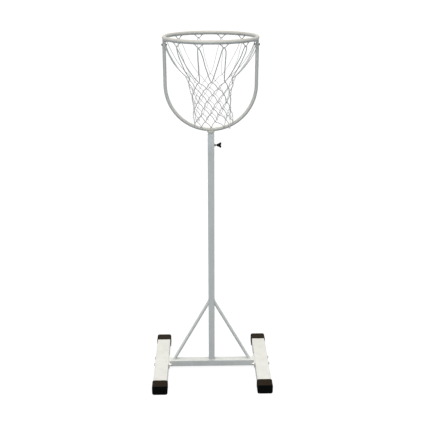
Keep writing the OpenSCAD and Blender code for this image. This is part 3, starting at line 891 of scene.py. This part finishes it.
stand_welds = bmesh.new()
add_weld(stand_welds, square_seam(MAST_HALF + 0.7, MAST_HALF + 0.2, 3, BEAM_TOP + 0.9),
         radius=2.3)
run, rise = BRACE_FOOT_X - MAST_HALF, BRACE_TOP_Z - BEAM_TOP
long_at_mast = BRACE_R * math.hypot(run, rise) / run + 0.6
long_at_beam = BRACE_R * math.hypot(run, rise) / rise + 0.6
wide = BRACE_R + 0.7
for side in (-1, 1):
    add_weld(stand_welds, round_seam(90, lambda a: Vector((
        side * (MAST_HALF + 0.8 + 0.5 * math.cos(a)), wide * math.sin(a),
        BRACE_TOP_Z + long_at_mast * math.cos(a)))), radius=1.9)
    add_weld(stand_welds, round_seam(80, lambda a: Vector((
        side * (BRACE_FOOT_X + long_at_beam * math.cos(a)), wide * math.sin(a),
        BEAM_TOP + 0.8))), radius=1.9)
    for edge in (-1, 1):
        x, y = side * (FLANGE_FACE_X - 0.7), edge * (BEAM_SIZE / 2 + 0.7)
        add_weld(stand_welds, [Vector((x, y, z)) for z in (18, 34, 50)], radius=2.2,
                 closed=False, tapered=True)
    x, z = side * (FLANGE_FACE_X - 0.2), BEAM_TOP - 0.9
    add_weld(stand_welds, [Vector((x, y, z)) for y in (-17, 0, 17)], radius=1.5,
             closed=False, tapered=True)
nut_seam_r = 7.3
add_weld(stand_welds, round_seam(60, lambda a: Vector((
    MAST_HALF + 0.5, nut_seam_r * math.cos(a), CLAMP_Z + nut_seam_r * math.sin(a)))),
    radius=1.3)
finish_piece("stand_welds", stand_welds, "base", frame_paint)

head_welds = bmesh.new()
# a fine seam under the saddle, because the outer mast comes within half a millimetre of it
add_weld(head_welds, square_seam(INNER_HALF + 0.1, INNER_HALF + 0.1, 2, SADDLE_Z - 0.02),
         radius=0.38, ripple=1.3, spacing=0.33)
for edge in (-1, 1):
    add_weld(head_welds, yoke_seam(edge), radius=2.6, closed=False, tapered=True)
for side in (-1, 1):
    add_weld(head_welds, stub_seam(side), radius=1.6)
finish_piece("head_welds", head_welds, "head", head_paint)

eyelet_welds = bmesh.new()
for k in range(EYELET_COUNT):
    for sign in (-1, 1):
        add_weld(eyelet_welds, eyelet_seam(2 * math.pi * (k + 0.5) / EYELET_COUNT, sign),
                 radius=2.5, closed=False, ripple=2.2, spacing=0.8, tapered=True)
finish_piece("eyelet_welds", eyelet_welds, "head", head_paint)


# ----------------------------------------------------------------------- net

draw = random.Random(SEED)


def row_radius(row):
    """The net narrows down to its neck and opens again a little to its tips."""
    if row < NECK_ROW:
        return NECK_R + (TOP_ROW_R - NECK_R) * ((NECK_ROW - row) / (NECK_ROW - 1)) ** 2
    return NECK_R + (TIP_R - NECK_R) * ((row - NECK_ROW) / (ROWS - NECK_ROW)) ** 2


def settle_knots():
    """Centre of every knot: odd rows on even steps, even rows on the steps between."""
    places = {}
    for row in range(1, ROWS + 1):
        slack = 0.35 + 0.65 * (row - 1) / (ROWS - 1)
        sway = NET_SWAY * ((row - 1) / (ROWS - 1)) ** 2
        twist = NET_TWIST * min(1, (row - 1) / 2)
        for step in range(row % 2 == 0, STEPS, 2):
            spans = ((-5, 4), (-1.7, 1.7), (row - 10, row - 2))
            out, turn, lift = [draw.uniform(*span) * slack for span in spans]
            if step in SETTLED[row]:
                out, (turn, lift) = 0, SETTLED[row][step]
            radius = row_radius(row) + out
            angle = math.radians(STEP_ANGLE * step + twist + turn)
            z = FIRST_ROW_Z - ROW_PITCH * (row - 1) + lift
            places[row, step] = Vector((radius * math.cos(angle) + sway,
                                        radius * math.sin(angle), z))
    return places


knots = settle_knots()


def knot_axes(place):
    """Directions at a point of the net: outwards, and level along the net."""
    out = Vector((place.x, place.y, 0)).normalized()
    return out, UP.cross(out)


def loop_over_wire(out, along, side):
    """A strand's half of the loop over its eyelet's wire, from the top down."""
    wire = out * RING_R + UP * EYELET_Z
    grip = WIRE_R + CORD_R + 0.1
    points = []
    for i in range(6):
        a = math.pi / 2 * i / 5
        points.append(wire + out * side * grip * math.sin(a) + UP * grip * math.cos(a)
                      + along * side * 1.7 * (i / 5))
    return points


def long_run(top, end, middle, along, side):
    """A strand's long way to the first knots: it sags, most at the net's sides, and wavers."""
    sag_way = (end - top).cross(along).normalized()
    if sag_way.z > 0:
        sag_way = -sag_way
    sag = LONG_SAG + SIDE_SAG * math.cos(middle) ** 2 + draw.uniform(-2, 2)
    waves = [(draw.uniform(-WAVER, WAVER), draw.uniform(-WAVER, WAVER), n) for n in (2, 3, 5)]
    points = []
    for i in range(1, 30):
        t = i / 30
        belly = 4 * t * (1 - t)
        shift = sag_way * sag * belly
        for down, across, n in waves:
            wave = math.sin(math.pi * n * t) * 1.6 / n
            shift += sag_way * down * wave + along * across * wave
        shift += along * side * KINK * (1 - math.exp(-22 * t)) * (1 - t) ** 1.5
        points.append(top.lerp(end, t) + shift)
    return points


def diamond_side(start, end):
    """A strand's way between two knots: a cubic curve, bulged out, without its ends."""
    across = end - start
    across.z = 0
    drop = start.z - end.z
    bulge = Vector((end.x + start.x, end.y + start.y, 0)).normalized() * draw.uniform(0, 3)
    lead = start + across * 0.46 - UP * drop * 0.14 + bulge
    trail = end - across * 0.20 + UP * drop * 0.44 + bulge
    points = []
    for i in range(1, 9):
        t = i / 9
        points.append(start * (1 - t) ** 3 + lead * 3 * t * (1 - t) ** 2
                      + trail * 3 * t * t * (1 - t) + end * t ** 3)
    return points


def knot_run(row, step, side, wraps):
    """A strand's way down through one knot: straight, or once round the other strand."""
    place = knots[row, step]
    out, along = knot_axes(place)
    entry = place + along * side * KNOT_SPREAD + UP * KNOT_REACH
    leave = place + along * side * KNOT_SPREAD - UP * KNOT_REACH
    if wraps:
        hand = 1 if (row + step) % 4 < 2 else -1
        inside = [place + KNOT_WRAP_R * (side * math.cos(a) * along + hand * math.sin(a) * out)
                  + UP * KNOT_HALF * (1 - a / math.pi)
                  for a in [2 * math.pi * i / 12 for i in range(13)]]
    else:
        inside = [place + UP * KNOT_HALF, place.copy(), place - UP * KNOT_HALF]
    return [entry] + inside + [leave]


def cut_tail(end, side):
    """The short end that hangs from a strand's last knot."""
    spread = knot_axes(end)[1] * side
    return [end - UP * drop + spread * drop * draw.uniform(0.2, 0.5)
            for drop in (2, 4, draw.uniform(5, 7))]


def strand(column, side):
    """One strand from its eyelet down to its tail, as points and radii."""
    middle = math.radians(STEP_ANGLE * (2 * column + 1))
    out = Vector((math.cos(middle), math.sin(middle), 0))
    along = UP.cross(out)
    points = loop_over_wire(out, along, side)
    radii = [CORD_R] * len(points)
    for row in range(1, ROWS + 1):
        odd = row % 2 == 1
        step = (2 * column + 1 + (side if odd else 0)) % STEPS
        at_side = -side if odd else side
        wraps = at_side == (1 if (row // 2 + step // 2) % 2 else -1)
        through = knot_run(row, step, at_side, wraps)
        if row == 1:
            way = long_run(points[-1], through[0], middle, along, side)
            radii += [CORD_R] * len(way)
        else:
            way = diamond_side(points[-1], through[0])
            radii += [MESH_CORD_R] * len(way)
        points += way + through
        pulled_tight = MESH_CORD_R * (0.92 if wraps else 0.85)
        radii += [MESH_CORD_R] + [pulled_tight] * (len(through) - 2) + [MESH_CORD_R]
    tail = cut_tail(points[-1], side)
    return points + tail, radii + [MESH_CORD_R] * len(tail)


def eased(points):
    """Softens the corners between the runs of a cord."""
    inner = [(a + 2 * b + c) / 4 for a, b, c in zip(points, points[1:], points[2:])]
    return [points[0]] + inner + [points[-1]]


def drawn_thin(point, radius):
    """Thins the cord on the far side, which has hung under more load."""
    near = min(1, max(0, (-20 - point.y) / 50))
    return radius * (0.80 + 0.29 * near)


net = bmesh.new()
for column in range(EYELET_COUNT):
    left, left_radii = strand(column, -1)
    right, right_radii = strand(column, 1)
    line = eased(left[::-1] + right[1:])
    radii = left_radii[::-1] + right_radii[1:]
    add_tube(net, line, [drawn_thin(*pair) for pair in zip(line, radii)])
finish_piece("knotted_net", net, "head", net_cord, replaces=["net"])


# -------------------------------------------------------- finishes on the CAD

FINISH_OF_SLOT = {
    "frame_paint": frame_paint, "head_paint": head_paint, "foot_paint": foot_paint,
    "cap_plastic": cap_plastic, "knob_plastic": knob_plastic, "zinc_steel": zinc_steel,
    "dark_steel": dark_steel, "net_cord": net_cord}
FINISH_OF_NODE = {"inner_mast": sliding_paint, "mast_glide_plug": plug_plastic}

for subpart in frame["record"]["subparts"]:
    name = subpart["node"]
    finish = FINISH_OF_NODE.get(name, FINISH_OF_SLOT[subpart["material_slot"]])
    for material_slot in frame["nodes"][name].material_slots:
        material_slot.material = finish


# ------------------------------------------------------- floor, light, camera

def make_floor():
    """Pale floor: white to the camera and in reflections, with the object's soft shadow."""
    finish = Finish("floor")
    finish.tree.nodes.clear()
    lit = finish.node("BsdfDiffuse", sockets={"Color": FLOOR_GREY})
    glow = finish.node("Emission", sockets={"Color": WHITE, "Strength": 0.9})
    white = finish.node("AddShader", sockets={0: lit, 1: glow})
    plain = finish.node("BsdfDiffuse", sockets={"Color": FLOOR_BOUNCE})
    shown = finish.node("MixShader", sockets={0: finish.seen_directly(), 1: plain, 2: white})
    finish.node("OutputMaterial", sockets={"Surface": shown})
    grid = bmesh.new()
    bmesh.ops.create_grid(grid, x_segments=1, y_segments=1, size=90)
    mesh = bpy.data.meshes.new("floor")
    grid.to_mesh(mesh)
    grid.free()
    mesh.materials.append(finish.material)
    floor = bpy.data.objects.new("floor", mesh)
    bpy.context.scene.collection.objects.link(floor)


def make_world():
    """Even cool fill, plain white where the camera or a reflection sees it."""
    world = bpy.data.worlds.new("studio")
    world.use_nodes = True
    bpy.context.scene.world = world
    nodes = Nodes(world.node_tree)
    nodes.tree.nodes.clear()
    fill = nodes.node("Background", sockets={"Color": COOL_FILL, "Strength": 0.34})
    white = nodes.node("Background", sockets={"Color": WHITE, "Strength": 1.0})
    shown = nodes.node("MixShader", sockets={0: nodes.seen_directly(), 1: fill, 2: white})
    nodes.node("OutputWorld", sockets={"Surface": shown})


def add_lamp(name, light, place, back, in_gloss=True):
    """Hangs a lamp at a place. Its back faces the given way, and its light goes the other."""
    lamp = bpy.data.objects.new(name, light)
    lamp.location = place
    lamp.rotation_mode = "QUATERNION"
    lamp.rotation_quaternion = Vector(back).to_track_quat("Z", "Y")
    lamp.visible_camera = False
    lamp.visible_glossy = in_gloss
    bpy.context.scene.collection.objects.link(lamp)


def make_light():
    """One broad soft lamp overhead, and a soft box before and behind the hoop."""
    overhead = bpy.data.lights.new("soft_key", "SUN")
    overhead.energy = 2.13
    overhead.color = WARM_LAMP
    overhead.angle = math.radians(50)
    front_box = bpy.data.lights.new("soft_box", "AREA")
    front_box.energy = 14
    front_box.shape = "SQUARE"
    front_box.size = 1.2
    front_box.color = COOL_LAMP
    rear_box = front_box.copy()
    rear_box.energy = 8
    add_lamp("soft_key", overhead, (0, 0, 4), (-0.06, -0.255, 0.965))
    add_lamp("front_box", front_box, (-0.25, -2.7, 2.0), (-0.2, -2.7, 0.3))
    add_lamp("rear_box", rear_box, (0.25, 2.7, 2.0), (0.2, 2.7, 0.3), in_gloss=False)


def make_camera():
    """A standing viewer's camera, in front of the hoop and a little above it."""
    place = (-0.04892, -3.34605, 2.28959)
    pan, tilt, roll = math.radians(-0.959), math.radians(68.991), math.radians(-0.146)
    lens = bpy.data.cameras.new("view")
    lens.sensor_fit = "HORIZONTAL"
    lens.sensor_width = 36
    lens.lens = 54.81
    lens.clip_start, lens.clip_end = 0.05, 300
    camera = bpy.data.objects.new("view", lens)
    camera.matrix_world = (Matrix.Translation(place) @ Matrix.Rotation(pan, 4, "Z")
                           @ Matrix.Rotation(tilt, 4, "X") @ Matrix.Rotation(roll, 4, "Z"))
    bpy.context.scene.collection.objects.link(camera)
    bpy.context.scene.camera = camera


make_floor()
make_world()
make_light()
make_camera()
bpy.context.scene.view_settings.view_transform = "Standard"
